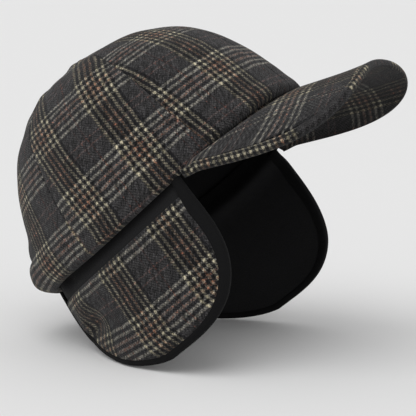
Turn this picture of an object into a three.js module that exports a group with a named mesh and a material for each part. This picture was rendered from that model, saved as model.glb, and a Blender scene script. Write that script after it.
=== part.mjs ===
// Tweed baseball cap with earflaps, worn tipped back. Millimetres, +Z up, peak toward -Y.
// The origin is the middle of the oval in which the head sits.
// Every piece is placed in the cap's own frame: across, forward, and up from the plane of the
// hem. One group then tips that frame back. The wearer's right side is at -X.
import * as THREE from "three";

// Cap
const TIP_BACK = 42;        // degrees from level to the plane of the hem
const SEAM_GAP = 0.3;       // between sewn pieces
const CROWN_WALL = 2.5;     // tweed with its padding
const SIDE_DIP = 10;        // how far the hem sinks over the ears

// Crown: one row for each ring, from the hem to the top. Reaches run from the origin's axis.
const RINGS = [
  { height: 0,     front: 107,   side: 86,   middle: 0,     back: 102.5 },
  { height: 23,    front: 102,   side: 84.5, middle: -0.3,  back: 105 },
  { height: 45,    front: 95,    side: 80,   middle: -1.2,  back: 99.5 },
  { height: 64.5,  front: 85.5,  side: 73.5, middle: -2.6,  back: 88 },
  { height: 81.5,  front: 71,    side: 64,   middle: -4.5,  back: 74 },
  { height: 95,    front: 52,    side: 48.5, middle: -7,    back: 59 },
  { height: 104,   front: 27,    side: 28.5, middle: -9.5,  back: 42.5 },
  { height: 108.4, front: 7.5,   side: 13,   middle: -11.6, back: 27 },
  { height: 110,   front: -13.5, side: 0,    middle: -13.5, back: 13.5 },
];
const TOP_RING = RINGS.length - 1;
// The full roll of cloth along the hem at the back
const ROLL = { depth: 15.5, height: 13.5, spread: 13, starts: 0.35, across: 0.55 };
// Seams between the gores, in degrees from the front: at the hem, half-way up and at the top
const SEAMS = {
  frontMiddle: { hem: 0, crown: 0, top: 0 },
  frontSide:   { hem: 51, crown: 53, top: 41 },
  backSide:    { hem: 111, crown: 113, top: 126 },
  backMiddle:  { hem: 180, crown: 180, top: 180 },
};
const GORES = [
  { name: "front", from: "frontMiddle", to: "frontSide", columns: 7 },
  { name: "side",  from: "frontSide",   to: "backSide",  columns: 8 },
  { name: "back",  from: "backSide",    to: "backMiddle", columns: 8 },
];
// Where the facets' rings lie, counted in rows of RINGS: closest at the rolled hem
const GORE_ROWS = [0, 0.2, 0.4, 0.65, 0.9, 1.2, 1.6, 2, 2.5, 3, 3.5, 4, 4.5, 5, 5.5, 6, 6.6, 7.2, 7.93];

// Peak: two covers that rise and fall with the hem and slope down from it
const PEAK = {
  cover: 2,          // thickness of each cover
  slope: 23,         // degrees down from the plane of the hem
  length: 58,        // along the slope at the middle
  corner: 64.5,      // degrees from the front to where it ends on the hem
  squareness: 3.3,   // of the outline: 2 is an ellipse
  droop: 4,          // extra fall of the side edges
  sag: 1.3,          // extra fall of the front edge
  drop: 1.2,         // of its middle layer below the hem
  columns: 28,
  rows: 4,
};

// Earflaps: arc runs back along the hem from its widest point, depth runs down from the hem
const FLAP = {
  inset: 3.1,        // of the black cloth from the crown's outside
  flare: { front: -2, back: 7, until: 60 },  // degrees outward from straight down, by arc
  root: { depth: -12, lean: 5 },             // tucked up inside the crown
  panel: 2,          // thickness of the black cloth
  patch: 1.5,        // thickness of the tweed on it
  patchTop: 12,      // where the tweed begins
  frontArc: -43.5,
  backArc: 114,
  depth: 82,
  // Each corner is a quarter of a rounded rectangle: a squareness of 2 makes it an ellipse
  frontCorner: { arc: 61, depth: 62, squareness: 2.7 },
  backCorner: { arc: 82.5, depth: 82, squareness: 1.5 },
  rows: 6,
};
// Black binding folded over the flap's free edge
const BINDING = {
  front: 7.5,
  bottom: 4,
  back: 3,
  thickness: 4.2,
  rim: { inset: 1.2, thickness: 2.4 },
  start: 0.6,        // below the hem
};

const TWEED = new THREE.MeshStandardMaterial({ color: 0x3c3a3a, roughness: 0.95, metalness: 0 });
const BLACK_CLOTH = new THREE.MeshStandardMaterial({ color: 0x141415, roughness: 0.9, metalness: 0 });
const BLACK_BINDING = new THREE.MeshStandardMaterial({ color: 0x0e0e0f, roughness: 0.8, metalness: 0 });

const radians = THREE.MathUtils.degToRad;
const degrees = THREE.MathUtils.radToDeg;
const { lerp, clamp } = THREE.MathUtils;

// ---- Crown ------------------------------------------------------------------------------

// One column of RINGS at a fractional row, as a Catmull-Rom spline that is smooth over the top
function ringValue(column, row) {
  const i = clamp(Math.floor(row), 0, TOP_RING - 1);
  const t = row - i;
  const here = RINGS[i][column];
  const next = RINGS[i + 1][column];
  const before = i > 0 ? RINGS[i - 1][column] : 2 * here - next;
  const overTop = column === "height" ? here : 2 * next - here;
  const after = i + 2 <= TOP_RING ? RINGS[i + 2][column] : overTop;
  const bend = 2 * before - 5 * here + 4 * next - after;
  const twist = 3 * here - before - 3 * next + after;
  return here + 0.5 * t * (next - before + t * (bend + t * twist));
}

// A point on the crown's outside: angle in degrees from the front, row counted in RINGS
function crownOutside(angle, row) {
  const c = Math.cos(radians(angle));
  const s = Math.sin(radians(angle));
  const middle = ringValue("middle", row);
  const reach = c > 0 ? ringValue("front", row) - middle : ringValue("back", row) + middle;
  const height = ringValue("height", row);
  const dip = SIDE_DIP * (s * (1 - height / RINGS[TOP_RING].height)) ** 2;
  const behind = clamp((-c - ROLL.starts) / (1 - ROLL.starts), 0, 1);
  const roll = ROLL.depth * behind * Math.exp(-(((height - ROLL.height) / ROLL.spread) ** 2));
  return new THREE.Vector3(
    (ringValue("side", row) + ROLL.across * roll) * s,
    middle + (reach + roll) * c,
    height - dip,
  );
}

// The same point moved inward along the surface's normal
function crownPoint(angle, row, inward) {
  const point = crownOutside(angle, row);
  const around = crownOutside(angle + 0.5, row).sub(crownOutside(angle - 0.5, row));
  const up = crownOutside(angle, Math.min(row + 0.02, TOP_RING))
    .sub(crownOutside(angle, Math.max(row - 0.02, 0)));
  const normal = around.cross(up).normalize();
  return point.addScaledVector(normal, inward);
}

// A seam's angle at a fractional row
function seamAngle(seam, row) {
  const share = row / TOP_RING;
  const straight = lerp(seam.hem, seam.top, share);
  const bulge = seam.crown - (seam.hem + seam.top) / 2;
  return straight + bulge * 4 * share * (1 - share);
}

// Half of a seam's gap as an angle on the ring that it crosses
function halfGapAngle(angle, row) {
  const perDegree = crownOutside(angle + 0.5, row).distanceTo(crownOutside(angle - 0.5, row));
  return SEAM_GAP / 2 / perDegree;
}

function goreSheet(gore) {
  return {
    columns: gore.columns,
    rows: GORE_ROWS.length - 1,
    place(i, j, face) {
      const row = GORE_ROWS[j];
      const from = seamAngle(SEAMS[gore.from], row);
      const to = seamAngle(SEAMS[gore.to], row);
      const first = from + halfGapAngle(from, row);
      const last = to - halfGapAngle(to, row);
      return crownPoint(lerp(first, last, i / gore.columns), row, face * CROWN_WALL);
    },
  };
}

// ---- Peak -------------------------------------------------------------------------------

// The hem in front at a distance across: its place, and its outward direction in plan
function frontHem(across) {
  const angle = degrees(Math.asin(clamp(across / RINGS[0].side, -1, 1)));
  const point = crownOutside(angle, 0);
  const outward = new THREE.Vector3(point.x / RINGS[0].side ** 2, point.y / RINGS[0].front ** 2, 0);
  return { point, outward: outward.normalize() };
}

const PEAK_CORNER = crownOutside(PEAK.corner, 0);
const PEAK_TIP = RINGS[0].front + PEAK.length * Math.cos(radians(PEAK.slope));

// The peak's middle layer: across runs over the width, run from the hem to the free edge
function peakMiddle(across, run) {
  const hem = frontHem(across);
  const inner = hem.point.clone().addScaledVector(hem.outward, 1.2 * SEAM_GAP);
  const width = Math.abs(across / PEAK_CORNER.x) ** PEAK.squareness;
  const reach = Math.max(0, 1 - width) ** (1 / PEAK.squareness);
  const edge = lerp(PEAK_CORNER.y, PEAK_TIP, reach);
  const forward = lerp(inner.y, edge, run);
  const share = (forward - hem.point.y) / (PEAK_TIP - RINGS[0].front);
  const fall = Math.tan(radians(PEAK.slope)) * (forward - hem.point.y)
    + PEAK.droop * (across / PEAK_CORNER.x) ** 2 * share + PEAK.sag * share ** 2;
  return new THREE.Vector3(lerp(inner.x, across, run), forward, hem.point.z - PEAK.drop - fall);
}

// A layer of the peak, raised from the middle one along its normal
function peakPoint(across, run, raised) {
  const point = peakMiddle(across, run);
  const sideways = peakMiddle(across + 0.2, run).sub(peakMiddle(across - 0.2, run));
  const forward = peakMiddle(across, run + 0.01).sub(peakMiddle(across, run - 0.01));
  return point.addScaledVector(sideways.cross(forward).normalize(), raised);
}

function coverSheet(outer, inner) {
  return {
    columns: PEAK.columns,
    rows: PEAK.rows,
    place(i, j, face) {
      const turn = radians(89.9 * (2 * i / PEAK.columns - 1));
      return peakPoint(0.999 * PEAK_CORNER.x * Math.sin(turn), j / PEAK.rows, face ? inner : outer);
    },
  };
}

// ---- Earflaps ---------------------------------------------------------------------------

// The line that the flap hangs from, at every degree: its place, outward direction and arc
const HEM_LINE = Array.from({ length: 181 }, (_, angle) => {
  const ahead = crownOutside(angle + 0.5, 0);
  const along = ahead.sub(crownOutside(angle - 0.5, 0)).setZ(0).normalize();
  const outward = new THREE.Vector3(-along.y, along.x, 0);
  return { point: crownOutside(angle, 0).addScaledVector(outward, -FLAP.inset), outward, arc: 0 };
});
for (let angle = 1; angle <= 180; angle += 1) {
  const step = HEM_LINE[angle].point.clone().sub(HEM_LINE[angle - 1].point).setZ(0);
  HEM_LINE[angle].arc = HEM_LINE[angle - 1].arc + step.length();
}
const WIDEST_ARC = HEM_LINE[90].arc;

// A point of the flap: arc along the hem, depth below it, raised outward from the black cloth
function flapPoint(arc, depth, raised) {
  const along = arc + WIDEST_ARC;
  const k = clamp(HEM_LINE.findIndex((line) => line.arc > along) - 1, 0, 179);
  const t = (along - HEM_LINE[k].arc) / (HEM_LINE[k + 1].arc - HEM_LINE[k].arc);
  const top = HEM_LINE[k].point.clone().lerp(HEM_LINE[k + 1].point, t);
  const outward = HEM_LINE[k].outward.clone().lerp(HEM_LINE[k + 1].outward, t).normalize();
  const turned = clamp((arc - FLAP.frontArc) / (FLAP.flare.until - FLAP.frontArc), 0, 1);
  const hanging = lerp(FLAP.flare.front, FLAP.flare.back, turned);
  const flare = radians(depth < 0 ? FLAP.root.lean : hanging);
  const up = new THREE.Vector3(0, 0, 1);
  return top
    .addScaledVector(outward, depth * Math.sin(flare) + raised * Math.cos(flare))
    .addScaledVector(up, raised * Math.sin(flare) - depth * Math.cos(flare));
}

// Places on the flap's outline: down its front edge, round the front corner, along the
// bottom and up round the back corner. Each can be drawn in from the outline by an inset.
function frontEdge(depth) {
  return { width: BINDING.front, at: (inset) => [FLAP.frontArc + inset, depth] };
}

// The shares of a corner's two reaches that a turn of 0 to 1 has come to
function quarter(turn, squareness) {
  const power = 2 / squareness;
  return [Math.max(0, Math.cos(turn * Math.PI / 2)) ** power, Math.sin(turn * Math.PI / 2) ** power];
}

function frontCorner(turn) {
  const { arc, depth, squareness } = FLAP.frontCorner;
  const [back, down] = quarter(turn, squareness);
  return {
    width: lerp(BINDING.front, BINDING.bottom, turn),
    at: (inset) => [
      FLAP.frontArc + arc - (arc - inset) * back,
      FLAP.depth - depth + (depth - inset) * down,
    ],
  };
}

function backCorner(turn) {
  const { arc, depth, squareness } = FLAP.backCorner;
  const [down, back] = quarter(turn, squareness);
  return {
    width: lerp(BINDING.bottom, BINDING.back, turn),
    at: (inset) => [
      FLAP.backArc - arc + (arc - inset) * back,
      FLAP.depth - depth + (depth - inset) * down,
    ],
  };
}

function steps(count, make) {
  return Array.from({ length: count + 1 }, (_, k) => make(k / count));
}

// The share of the back corner's turn at which the outline, drawn in, has a given depth
function backTurnAt(depth, inset) {
  const { depth: reach, squareness } = FLAP.backCorner;
  return Math.acos((depth / (reach - inset)) ** (squareness / 2)) / (Math.PI / 2);
}

// A sheet that fills the outline inside the binding, from a top line down
function flapSheet(top, lastTurn, outer, inner) {
  const edge = [...steps(7, frontCorner), ...steps(9, (t) => backCorner(t * lastTurn))];
  return {
    columns: edge.length - 1,
    rows: FLAP.rows,
    place(i, j, face) {
      const [arc, depth] = edge[i].at(edge[i].width + SEAM_GAP);
      return flapPoint(arc, lerp(top, depth, j / FLAP.rows), face ? inner : outer);
    },
  };
}

function bindingSheet() {
  const straight = FLAP.depth - FLAP.frontCorner.depth;
  const lastTurn = backTurnAt(BINDING.start, 0);
  const edge = [
    ...steps(3, (t) => frontEdge(lerp(BINDING.start, straight, t))).slice(0, -1),
    ...steps(9, frontCorner),
    ...steps(14, (t) => backCorner(t * lastTurn)),
  ];
  const middle = (SEAM_GAP + FLAP.patch - FLAP.panel) / 2;
  return {
    columns: edge.length - 1,
    rows: 2,
    place(i, j, face) {
      const inset = [edge[i].width, BINDING.rim.inset, 0][j];
      const thickness = j === 2 ? BINDING.rim.thickness : BINDING.thickness;
      const [arc, depth] = edge[i].at(inset);
      return flapPoint(arc, Math.max(depth, BINDING.start), middle + (face ? -1 : 1) * thickness / 2);
    },
  };
}

// ---- Building ---------------------------------------------------------------------------

// A closed wall from a sheet: an outer and an inner face of columns by rows, and its edges
function wallGeometry({ columns, rows, place }, mirror) {
  const positions = [];
  for (const face of [0, 1]) {
    for (let i = 0; i <= columns; i += 1) {
      for (let j = 0; j <= rows; j += 1) {
        const p = place(i, j, face);
        positions.push(mirror * p.x, -p.y, p.z);
      }
    }
  }
  const at = (i, j, face) => (face * (columns + 1) + i) * (rows + 1) + j;
  const index = [];
  const quad = (a, b, c, d) => index.push(a, b, c, a, c, d);
  for (let i = 0; i < columns; i += 1) {
    for (let j = 0; j < rows; j += 1) {
      quad(at(i, j, 0), at(i + 1, j, 0), at(i + 1, j + 1, 0), at(i, j + 1, 0));
      quad(at(i, j, 1), at(i, j + 1, 1), at(i + 1, j + 1, 1), at(i + 1, j, 1));
    }
    quad(at(i, 0, 0), at(i, 0, 1), at(i + 1, 0, 1), at(i + 1, 0, 0));
    quad(at(i, rows, 0), at(i + 1, rows, 0), at(i + 1, rows, 1), at(i, rows, 1));
  }
  for (let j = 0; j < rows; j += 1) {
    quad(at(0, j, 0), at(0, j + 1, 0), at(0, j + 1, 1), at(0, j, 1));
    quad(at(columns, j, 0), at(columns, j, 1), at(columns, j + 1, 1), at(columns, j + 1, 0));
  }
  const geometry = new THREE.BufferGeometry();
  geometry.setAttribute("position", new THREE.Float32BufferAttribute(positions, 3));
  geometry.setIndex(facesOut(positions, index) ? index : index.reverse());
  geometry.computeVertexNormals();
  return geometry;
}

// Whether a closed mesh's triangles face outward, by the sign of its volume
function facesOut(positions, index) {
  const corner = (k) => new THREE.Vector3().fromArray(positions, 3 * index[k]);
  let volume = 0;
  for (let k = 0; k < index.length; k += 3) {
    volume += corner(k).dot(corner(k + 1).cross(corner(k + 2)));
  }
  return volume > 0;
}

const tipped = new THREE.Group();
tipped.rotation.x = radians(-TIP_BACK);

function addPiece(name, sheet, material, mirror = 1) {
  const mesh = new THREE.Mesh(wallGeometry(sheet, mirror), material);
  mesh.name = name;
  tipped.add(mesh);
}

function addPair(name, sheet, material) {
  addPiece(`${name}_right`, sheet, material, -1);
  addPiece(`${name}_left`, sheet, material, 1);
}

for (const gore of GORES) {
  addPair(`crown_${gore.name}`, goreSheet(gore), TWEED);
}

addPiece("peak_upper", coverSheet(SEAM_GAP / 2 + PEAK.cover, SEAM_GAP / 2), TWEED);
addPiece("peak_under", coverSheet(-SEAM_GAP / 2, -SEAM_GAP / 2 - PEAK.cover), TWEED);

const patchTurn = backTurnAt(FLAP.patchTop + 2, BINDING.back + SEAM_GAP);
addPair("flap_panel", flapSheet(FLAP.root.depth, 1, 0, -FLAP.panel), BLACK_CLOTH);
addPair("flap_patch", flapSheet(FLAP.patchTop, patchTurn, SEAM_GAP + FLAP.patch, SEAM_GAP), TWEED);
addPair("flap_binding", bindingSheet(), BLACK_BINDING);

const cap = new THREE.Group();
cap.add(tipped);
export default cap;
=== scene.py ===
"""Looks of a tweed baseball cap with earflaps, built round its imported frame.

Each piece of cloth is worked out in the cap's own frame, in mm: across, forward, and up from
the plane of the hem. place() turns that into the row frame, in metres. The wearer's right
side is at -X, and the peak points to -Y."""
import math

import bmesh
import bpy
import numpy as np
from mathutils import Matrix, Vector


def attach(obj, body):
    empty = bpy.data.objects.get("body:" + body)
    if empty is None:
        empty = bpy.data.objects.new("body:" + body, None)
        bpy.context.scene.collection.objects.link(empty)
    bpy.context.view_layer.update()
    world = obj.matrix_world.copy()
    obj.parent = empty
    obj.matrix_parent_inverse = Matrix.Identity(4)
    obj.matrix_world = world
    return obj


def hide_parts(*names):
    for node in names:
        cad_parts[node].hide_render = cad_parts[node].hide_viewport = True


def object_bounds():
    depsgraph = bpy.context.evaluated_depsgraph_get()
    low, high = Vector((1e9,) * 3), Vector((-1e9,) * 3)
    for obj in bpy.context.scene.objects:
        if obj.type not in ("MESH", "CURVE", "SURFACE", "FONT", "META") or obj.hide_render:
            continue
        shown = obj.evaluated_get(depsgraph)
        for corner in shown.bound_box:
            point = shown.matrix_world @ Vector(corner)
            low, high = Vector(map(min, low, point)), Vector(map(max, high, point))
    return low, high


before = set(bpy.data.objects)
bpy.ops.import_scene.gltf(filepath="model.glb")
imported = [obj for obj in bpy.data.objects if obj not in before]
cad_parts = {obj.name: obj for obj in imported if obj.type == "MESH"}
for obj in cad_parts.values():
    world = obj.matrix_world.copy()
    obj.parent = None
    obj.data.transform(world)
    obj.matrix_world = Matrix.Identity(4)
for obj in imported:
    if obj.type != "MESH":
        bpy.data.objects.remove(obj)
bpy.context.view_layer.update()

# ---- Sizes, in mm and degrees ----
# They are the CAD's, apart from small differences where the cloth is soft.
TIP_BACK = 42       # from level to the plane of the hem
SIDE_DIP = 10       # how far the hem sinks over the ears
WALL = 2.5          # of the crown
SEAM_GAP = 0.1      # between sewn pieces
# The crown's rings, from the hem to the top. Reaches run from the origin's axis.
COLUMNS = ("height", "front", "side", "middle", "back")
RINGS = np.array([
    (0, 107, 86, 0, 102.5),
    (23, 102, 84.5, -0.3, 105),
    (45, 95, 80, -1.2, 99.5),
    (64.5, 85.5, 73.5, -2.6, 88),
    (81.5, 71, 64, -4.5, 74),
    (95, 52, 48.5, -7, 59),
    (104, 27, 28.5, -9.5, 42.5),
    (108.4, 7.5, 13, -11.6, 27),
    (110, -13.5, 0, -13.5, 13.5),
])
TOP_RING = len(RINGS) - 1
HEM_FRONT, HEM_SIDE = RINGS[0, 1], RINGS[0, 2]
# The full roll of cloth along the hem at the back
ROLL = {"depth": 15.5, "height": 13.5, "spread": 13, "starts": 0.35, "across": 0.55}
# Seams between the gores: degrees from the front at the hem, half-way up and at the top
SEAMS = {
    "front_middle": (0, 0, 0),
    "front_side": (51, 53, 41),
    "back_side": (111, 113, 126),
    "back_middle": (180, 180, 180),
}
# The peak: its slope and length at the middle, the corner where it ends on the hem, and how
# far its sides, its front edge, all of it and its hollow middle lie below that slope
PEAK = {"slope": 23, "length": 58, "corner": 64.5, "squareness": 3.45, "droop": 4, "sag": 1.3,
        "drop": 1.2, "hollow": 2.9}
# The earflap: arcs run back along the hem from its widest point, and depths down from the hem.
# The black cloth hangs inset from the crown's outside, leans in above the hem, up to its
# root, and flares below it. The tweed patch lies on it, past a gap.
FLAP = {"inset": 3.1, "front_flare": -2, "back_flare": 7, "flare_until": 60, "lean": 5,
        "bends": (-4, 4), "front_arc": -43.5, "back_arc": 114, "depth": 82, "root": -12,
        "panel": 2, "patch_gap": 0.3, "patch": 1.5, "patch_top": 10}
FRONT_EDGE = 20     # how far down the flap's front edge runs straight
FRONT_CORNER = {"arc": 61, "depth": 62, "squareness": 2.7}
BACK_CORNER = {"arc": 82.5, "depth": 82, "squareness": 1.5}
# The binding's widths along the flap's edge, and the depths where it starts and ends
BINDING = {"top": 6.6, "front": 9.2, "bottom": 4.5, "back": 5, "ease": 0.8,
           "start": -1.5, "end": 0.6}
# The flap's cloth is gathered at the rear: a dent with a rise above it, from front to back
PUCKER = {"from": (54, 74), "to": (81, 95), "below": (4, 16), "depth": 35, "spread": 7,
          "deep": 5.0, "rise": 1.4, "rise_depth": 19}
# It is drawn in under the hem, less towards its front end and not at its back end
HEM_GROOVE = {"deep": 4.5, "depth": 1, "spread": 6, "fades": 18, "front_share": 0.45, "to": 78}
FOOT = {"turned_in": 2.5, "depths": (64, 84)}

# ---- The plaid ----
# One repeat is 12 line pitches, both ways: six lines, then ground with two fine lines, or
# panes. Each line is four light yarns, with its place in their middle, and four black ones.
LINES = 12
YARNS = 8
GROUP = ("cream", "cream", "rust", "rust", "cream", "cream")
TO_MIDDLE = 0.25        # from a line's first yarn to its place, in pitches
WARP_PANES = (8.05, 9.2)
WEFT_PANES = (7.75, 8.9)
PANE_YARNS = 2


# ---- Helpers ----
def unit(vectors):
    return vectors / np.maximum(np.linalg.norm(vectors, axis=-1, keepdims=True), 1e-12)


def mix(a, b, share):
    return a + (b - a) * share


def smooth(low, high, value):
    """From 0 below low to 1 above high"""
    t = np.clip((value - low) / (high - low), 0, 1)
    return t * t * (3 - 2 * t)


def bell(value, middle, spread):
    """1 at the middle, and towards 0 on both sides"""
    return np.exp(-(((value - middle) / spread) ** 2))


def lengths(points):
    """How far along a line each of its points lies, or down each column of a grid"""
    steps = np.linalg.norm(np.diff(points, axis=0), axis=-1)
    return np.concatenate([0 * steps[:1], np.cumsum(steps, axis=0)])


def place(points, side=1):
    """Points of the cap's own frame, (across, forward, up) in mm, in the row frame"""
    tip = math.radians(-TIP_BACK)
    back = -points[..., 1]
    up = points[..., 2]
    return np.stack([side * points[..., 0],
                     back * math.cos(tip) - up * math.sin(tip),
                     back * math.sin(tip) + up * math.cos(tip)], -1) / 1000


# ---- Crown surface ----
def ring_value(column, row):
    """A column of RINGS at fractional rows: a Catmull-Rom spline, smooth over the top"""
    values = RINGS[:, COLUMNS.index(column)]
    i = np.clip(np.floor(row).astype(int), 0, TOP_RING - 1)
    t = row - i
    here, following = values[i], values[i + 1]
    before = np.where(i > 0, values[np.maximum(i - 1, 0)], 2 * here - following)
    over_top = here if column == "height" else 2 * following - here
    after = np.where(i + 2 <= TOP_RING, values[np.minimum(i + 2, TOP_RING)], over_top)
    bend = 2 * before - 5 * here + 4 * following - after
    twist = 3 * here - before - 3 * following + after
    return here + 0.5 * t * (following - before + t * (bend + t * twist))


def crown_outside(angle, row):
    """Points of the crown's outside: degrees from the front, and rows counted in RINGS"""
    angle, row = np.broadcast_arrays(np.asarray(angle, float), np.asarray(row, float))
    c, s = np.cos(np.radians(angle)), np.sin(np.radians(angle))
    middle = ring_value("middle", row)
    ahead = ring_value("front", row) - middle
    reach = np.where(c > 0, ahead, ring_value("back", row) + middle)
    height = ring_value("height", row)
    dip = SIDE_DIP * (s * (1 - height / RINGS[-1, 0])) ** 2
    behind = np.clip((-c - ROLL["starts"]) / (1 - ROLL["starts"]), 0, 1)
    roll = ROLL["depth"] * behind * bell(height, ROLL["height"], ROLL["spread"])
    across = (ring_value("side", row) + ROLL["across"] * roll) * s
    return np.stack([across, middle + (reach + roll) * c, height - dip], -1)


def crown_inward(angle, row):
    """The crown's normals, which point inward"""
    around = crown_outside(angle + 0.5, row) - crown_outside(angle - 0.5, row)
    above = crown_outside(angle, np.minimum(row + 0.02, TOP_RING))
    return unit(np.cross(around, above - crown_outside(angle, np.maximum(row - 0.02, 0))))


def seam_angle(seam, row):
    hem, crown, top = SEAMS[seam]
    share = row / TOP_RING
    return mix(hem, top, share) + (crown - (hem + top) / 2) * 4 * share * (1 - share)


# ---- Peak surface ----
def hem_in_front(across):
    """Points of the front half of the hem"""
    return crown_outside(np.degrees(np.arcsin(np.clip(across / HEM_SIDE, -1, 1))), 0)


PEAK_CORNER = crown_outside(PEAK["corner"], 0)
PEAK_TIP = HEM_FRONT + PEAK["length"] * math.cos(math.radians(PEAK["slope"]))


def peak_at(across, forward):
    """The peak's middle layer over a place in plan"""
    hem = hem_in_front(across)
    share = (forward - hem[..., 1]) / (PEAK_TIP - HEM_FRONT)
    wide = np.clip(np.abs(across / PEAK_CORNER[0]), 0, 1)
    reach = mix(PEAK_CORNER[1], PEAK_TIP, (1 - wide ** PEAK["squareness"])
                ** (1 / PEAK["squareness"]))
    run = np.clip((forward - hem[..., 1]) / np.maximum(reach - hem[..., 1], 1), -1, 1)
    fall = (math.tan(math.radians(PEAK["slope"])) * (forward - hem[..., 1])
            + PEAK["droop"] * (across / PEAK_CORNER[0]) ** 2 * share
            + PEAK["sag"] * share * np.abs(share)
            + PEAK["hollow"] * (1 - run ** 4) * (1 - wide ** 2))
    return np.stack([across + 0 * fall, forward, hem[..., 2] - PEAK["drop"] - fall], -1)


def peak_up(across, forward):
    """The peak's normals, which point up"""
    sideways = peak_at(across + 0.2, forward) - peak_at(across - 0.2, forward)
    return unit(np.cross(sideways, peak_at(across, forward + 0.2)
                         - peak_at(across, forward - 0.2)))


def peak_outline(turn):
    """The peak's free edge in plan, corner to corner, as turn goes from -90 to 90"""
    s, c = np.sin(np.radians(turn)), np.maximum(0, np.cos(np.radians(turn)))
    power = 2 / PEAK["squareness"]
    across = PEAK_CORNER[0] * np.sign(s) * np.abs(s) ** power
    return across, mix(PEAK_CORNER[1], PEAK_TIP, c ** power)


# ---- Flap surface ----
HEM_ANGLES = np.arange(0, 181)
HEM_ALONG = crown_outside(HEM_ANGLES + 0.5, 0) - crown_outside(HEM_ANGLES - 0.5, 0)
HEM_ALONG = unit(HEM_ALONG * (1, 1, 0))
HEM_OUT = np.stack([-HEM_ALONG[:, 1], HEM_ALONG[:, 0], 0 * HEM_ALONG[:, 0]], -1)
HEM_LINE = crown_outside(HEM_ANGLES, 0) - FLAP["inset"] * HEM_OUT
HEM_ARC = lengths(HEM_LINE * (1, 1, 0))
HEM_ARC = HEM_ARC - HEM_ARC[90]


def flap_pucker(arc, depth):
    """How far the cloth stands out from its plain hang"""
    dent = -PUCKER["deep"] * smooth(*PUCKER["from"], arc) \
        * bell(depth, PUCKER["depth"], PUCKER["spread"])
    rise = PUCKER["rise"] * smooth(*PUCKER["from"], arc) \
        * bell(depth, PUCKER["rise_depth"], PUCKER["spread"])
    fades = 1 - smooth(*PUCKER["to"], arc)
    foot = -FOOT["turned_in"] * smooth(*FOOT["depths"], depth)
    return (dent + rise) * fades + foot


def flap_point(arc, depth, raised):
    """A point of the flap: arc back along the hem from its widest point, depth down from
    the hem, raised outward from the black cloth"""
    arc, depth, raised = np.broadcast_arrays(*(np.asarray(a, float) for a in (arc, depth, raised)))
    top, out = (np.stack([np.interp(arc, HEM_ARC, values[:, k]) for k in range(3)], -1)
                for values in (HEM_LINE, HEM_OUT))
    out = unit(out)
    turned = np.clip((arc - FLAP["front_arc"]) / (FLAP["flare_until"] - FLAP["front_arc"]), 0, 1)
    hanging = mix(FLAP["front_flare"], FLAP["back_flare"], turned)
    flare = np.radians(mix(FLAP["lean"], hanging, smooth(*FLAP["bends"], depth)))
    raised = raised + flap_pucker(arc, depth) * smooth(*PUCKER["below"], depth)
    starts, fades, to = FLAP["front_arc"], HEM_GROOVE["fades"], HEM_GROOVE["to"]
    within = (mix(HEM_GROOVE["front_share"], 1, smooth(starts, starts + fades, arc))
              * (1 - smooth(to, to + fades, arc)))
    raised = raised - HEM_GROOVE["deep"] * within \
        * bell(depth, HEM_GROOVE["depth"], HEM_GROOVE["spread"])
    sideways = depth * np.sin(flare) + raised * np.cos(flare)
    upward = raised * np.sin(flare) - depth * np.cos(flare)
    return top + out * sideways[..., None] + np.array([0, 0, 1]) * upward[..., None]


def corner_shares(turn, squareness):
    """The shares of a corner's two reaches that a turn of 0 to 1 has come to"""
    ahead = np.maximum(0, np.cos(turn * math.pi / 2)) ** (2 / squareness)
    return ahead, np.sin(turn * math.pi / 2) ** (2 / squareness)


def flap_outline(front, corner, back_turn, back):
    """The flap's outline, in steps down its front edge, round the front corner, and up round
    the back corner as far as back_turn: the binding's widths there, and a function for the
    arcs and depths when drawn in by an inset"""
    down = np.linspace(BINDING["start"], FRONT_EDGE, front + 1)[:-1]
    turn = np.linspace(0, 1, corner + 1)
    back_turns = np.linspace(0, back_turn, back + 1)[1:]
    widths = np.concatenate([mix(BINDING["top"], BINDING["front"], down / FRONT_EDGE),
                             mix(BINDING["front"], BINDING["bottom"], turn ** BINDING["ease"]),
                             mix(BINDING["bottom"], BINDING["back"], back_turns)])

    def at(inset):
        inset = np.broadcast_to(np.asarray(inset, float), widths.shape)
        edge, first, last = np.split(inset, (len(down), len(down) + corner + 1))
        ahead, below = corner_shares(turn, FRONT_CORNER["squareness"])
        arc = [FLAP["front_arc"] + edge,
               FLAP["front_arc"] + FRONT_CORNER["arc"] - (FRONT_CORNER["arc"] - first) * ahead]
        depth = [down, FRONT_EDGE + (FRONT_CORNER["depth"] - first) * below]
        below, behind = corner_shares(back_turns, BACK_CORNER["squareness"])
        arc.append(FLAP["back_arc"] - BACK_CORNER["arc"] + (BACK_CORNER["arc"] - last) * behind)
        depth.append(FLAP["depth"] - BACK_CORNER["depth"] + (BACK_CORNER["depth"] - last) * below)
        return np.concatenate(arc), np.concatenate(depth)

    return widths, at


def back_turn_at(depth, inset):
    """How far round the back corner an outline drawn in by inset comes up to a depth"""
    share = (depth / (BACK_CORNER["depth"] - inset)) ** (BACK_CORNER["squareness"] / 2)
    return math.acos(share) / (math.pi / 2)


# ---- Materials ----
def linear(red, green, blue):
    """An sRGB colour, 0 to 255, as the linear RGBA that a shader takes"""
    rgb = [c / 255 for c in (red, green, blue)]
    return [c / 12.92 if c <= 0.04045 else ((c + 0.055) / 1.055) ** 2.4 for c in rgb] + [1]


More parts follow.
